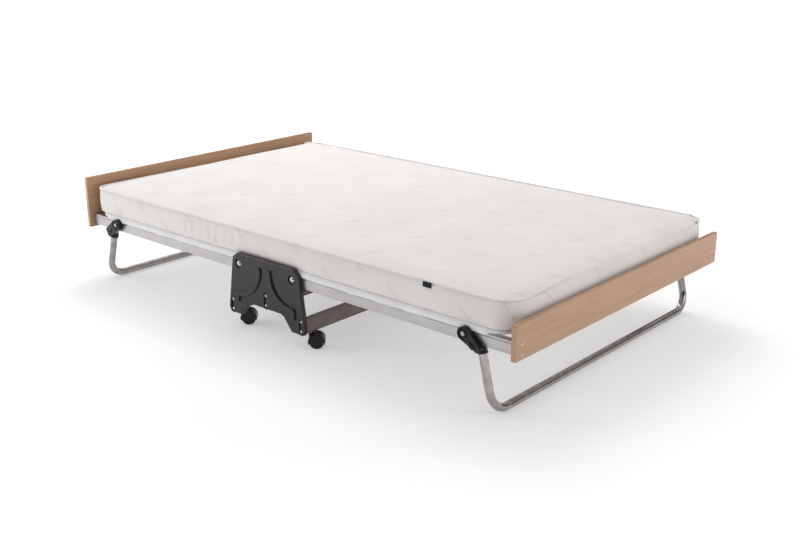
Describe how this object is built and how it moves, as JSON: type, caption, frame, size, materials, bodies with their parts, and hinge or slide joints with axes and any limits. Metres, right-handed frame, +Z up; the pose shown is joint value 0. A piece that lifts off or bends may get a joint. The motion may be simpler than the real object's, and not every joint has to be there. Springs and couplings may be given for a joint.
{
  "type": "rollaway bed",
  "caption": "Folding guest bed: two hinged halves with mattress on a castored centre stand, wooden end panels and U legs that fold by themselves.",
  "frame": {"origin": "on the floor under the middle of the open bed", "axes": "+X towards the foot end, +Y towards the far side, +Z up"},
  "size_m": [1.996, 1.194, 0.386],
  "materials": {
    "wood_laminate": "satin beech-look laminate",
    "rail_aluminium": "satin anodised extrusion",
    "plate_paint": "satin dark grey powder coat",
    "cross_paint": "satin brown-grey powder coat",
    "leg_chrome": "bright plated tube",
    "black_plastic": "moulded black nylon",
    "wheel_plastic": "moulded black wheel",
    "zinc_steel": "zinc plated",
    "link_steel": "black painted rod",
    "deck_cloth": "woven deck cloth",
    "ticking": "cream knitted ticking"
  },
  "bodies": {
    "stand": {"hinge_plate_near": "plate_paint", "cross_rail_bolts_near": "zinc_steel", "fold_bolts_near": "zinc_steel", "fold_bushes_near": "zinc_steel", "link_anchor_pins_near": "link_steel", "hinge_plate_far": "plate_paint", "cross_rail_bolts_far": "zinc_steel", "fold_bolts_far": "zinc_steel", "fold_bushes_far": "zinc_steel", "link_anchor_pins_far": "link_steel", "cross_rail_head": "cross_paint", "cross_rail_middle": "cross_paint", "cross_rail_foot": "cross_paint", "castor_sockets_head": "black_plastic", "castor_sockets_foot": "black_plastic", "deck_middle": "deck_cloth", "mattress_middle": "ticking"},
    "head_half": {"rail_head_near": "rail_aluminium", "rail_head_far": "rail_aluminium", "rail_caps_head": "black_plastic", "end_bar_head": "cross_paint", "head_panel": "wood_laminate", "panel_screws_head": "zinc_steel", "leg_rivets_head": "zinc_steel", "deck_head": "deck_cloth", "mattress_head": "ticking"},
    "head_leg": {"leg_tube_head": "leg_chrome", "leg_bracket_head_near": "black_plastic", "leg_bracket_head_far": "black_plastic", "link_pins_head": "link_steel"},
    "head_links": {"link_rod_head_near": "link_steel", "link_rod_head_far": "link_steel"},
    "foot_half": {"rail_foot_near": "rail_aluminium", "rail_foot_far": "rail_aluminium", "rail_caps_foot": "black_plastic", "end_bar_foot": "cross_paint", "foot_panel": "wood_laminate", "panel_screws_foot": "zinc_steel", "leg_rivets_foot": "zinc_steel", "deck_foot": "deck_cloth", "mattress_foot": "ticking"},
    "foot_leg": {"leg_tube_foot": "leg_chrome", "leg_bracket_foot_near": "black_plastic", "leg_bracket_foot_far": "black_plastic", "link_pins_foot": "link_steel"},
    "foot_links": {"link_rod_foot_near": "link_steel", "link_rod_foot_far": "link_steel"},
    "castor_head_near": {"castor_hood_head_near": "black_plastic", "castor_pins_head_near": "zinc_steel"},
    "wheels_head_near": {"castor_wheels_head_near": "wheel_plastic"},
    "castor_head_far": {"castor_hood_head_far": "black_plastic", "castor_pins_head_far": "zinc_steel"},
    "wheels_head_far": {"castor_wheels_head_far": "wheel_plastic"},
    "castor_foot_near": {"castor_hood_foot_near": "black_plastic", "castor_pins_foot_near": "zinc_steel"},
    "wheels_foot_near": {"castor_wheels_foot_near": "wheel_plastic"},
    "castor_foot_far": {"castor_hood_foot_far": "black_plastic", "castor_pins_foot_far": "zinc_steel"},
    "wheels_foot_far": {"castor_wheels_foot_far": "wheel_plastic"}
  },
  "joints": [
    {"name": "head_fold", "type": "hinge", "parent": "stand", "child": "head_half", "pos_m": [-0.127, 0, 0.233], "axis": [0, 1, 0], "range_deg": [0, 90], "deforming": ["mattress_middle", "deck_middle"]},
    {"name": "head_leg_turn", "type": "hinge", "parent": "head_half", "child": "head_leg", "pos_m": [-0.816, 0, 0.233], "axis": [0, 1, 0], "range_deg": [-90, 0]},
    {"name": "head_link_turn", "type": "hinge", "parent": "stand", "child": "head_links", "pos_m": [-0.16, 0, 0.2], "axis": [0, 1, 0], "range_deg": [0, 90]},
    {"name": "foot_fold", "type": "hinge", "parent": "stand", "child": "foot_half", "pos_m": [0.127, 0, 0.233], "axis": [0, -1, 0], "range_deg": [0, 90], "deforming": ["mattress_middle", "deck_middle"]},
    {"name": "foot_leg_turn", "type": "hinge", "parent": "foot_half", "child": "foot_leg", "pos_m": [0.816, 0, 0.233], "axis": [0, -1, 0], "range_deg": [-90, 0]},
    {"name": "foot_link_turn", "type": "hinge", "parent": "stand", "child": "foot_links", "pos_m": [0.16, 0, 0.2], "axis": [0, -1, 0], "range_deg": [0, 90]},
    {"name": "castor_swivel_head_near", "type": "hinge", "parent": "stand", "child": "castor_head_near", "pos_m": [-0.164, -0.545, 0.054], "axis": [0, 0, 1], "continuous": true},
    {"name": "wheel_roll_head_near", "type": "hinge", "parent": "castor_head_near", "child": "wheels_head_near", "pos_m": [-0.15041, -0.53319, 0.024], "axis": [0.6561, -0.7547, 0], "continuous": true},
    {"name": "castor_swivel_head_far", "type": "hinge", "parent": "stand", "child": "castor_head_far", "pos_m": [-0.164, 0.545, 0.054], "axis": [0, 0, 1], "continuous": true},
    {"name": "wheel_roll_head_far", "type": "hinge", "parent": "castor_head_far", "child": "wheels_head_far", "pos_m": [-0.17758, 0.55681, 0.024], "axis": [0.6561, 0.7547, 0], "continuous": true},
    {"name": "castor_swivel_foot_near", "type": "hinge", "parent": "stand", "child": "castor_foot_near", "pos_m": [0.164, -0.545, 0.054], "axis": [0, 0, 1], "continuous": true},
    {"name": "wheel_roll_foot_near", "type": "hinge", "parent": "castor_foot_near", "child": "wheels_foot_near", "pos_m": [0.17758, -0.53319, 0.024], "axis": [0.6561, -0.7547, 0], "continuous": true},
    {"name": "castor_swivel_foot_far", "type": "hinge", "parent": "stand", "child": "castor_foot_far", "pos_m": [0.164, 0.545, 0.054], "axis": [0, 0, 1], "continuous": true},
    {"name": "wheel_roll_foot_far", "type": "hinge", "parent": "castor_foot_far", "child": "wheels_foot_far", "pos_m": [0.15041, 0.55681, 0.024], "axis": [0.6561, 0.7547, 0], "continuous": true}
  ],
  "couplings": [
    {"joint": "head_leg_turn", "follows": "head_fold", "ratio": -1},
    {"joint": "head_link_turn", "follows": "head_fold", "ratio": 1},
    {"joint": "foot_leg_turn", "follows": "foot_fold", "ratio": -1},
    {"joint": "foot_link_turn", "follows": "foot_fold", "ratio": 1}
  ]
}
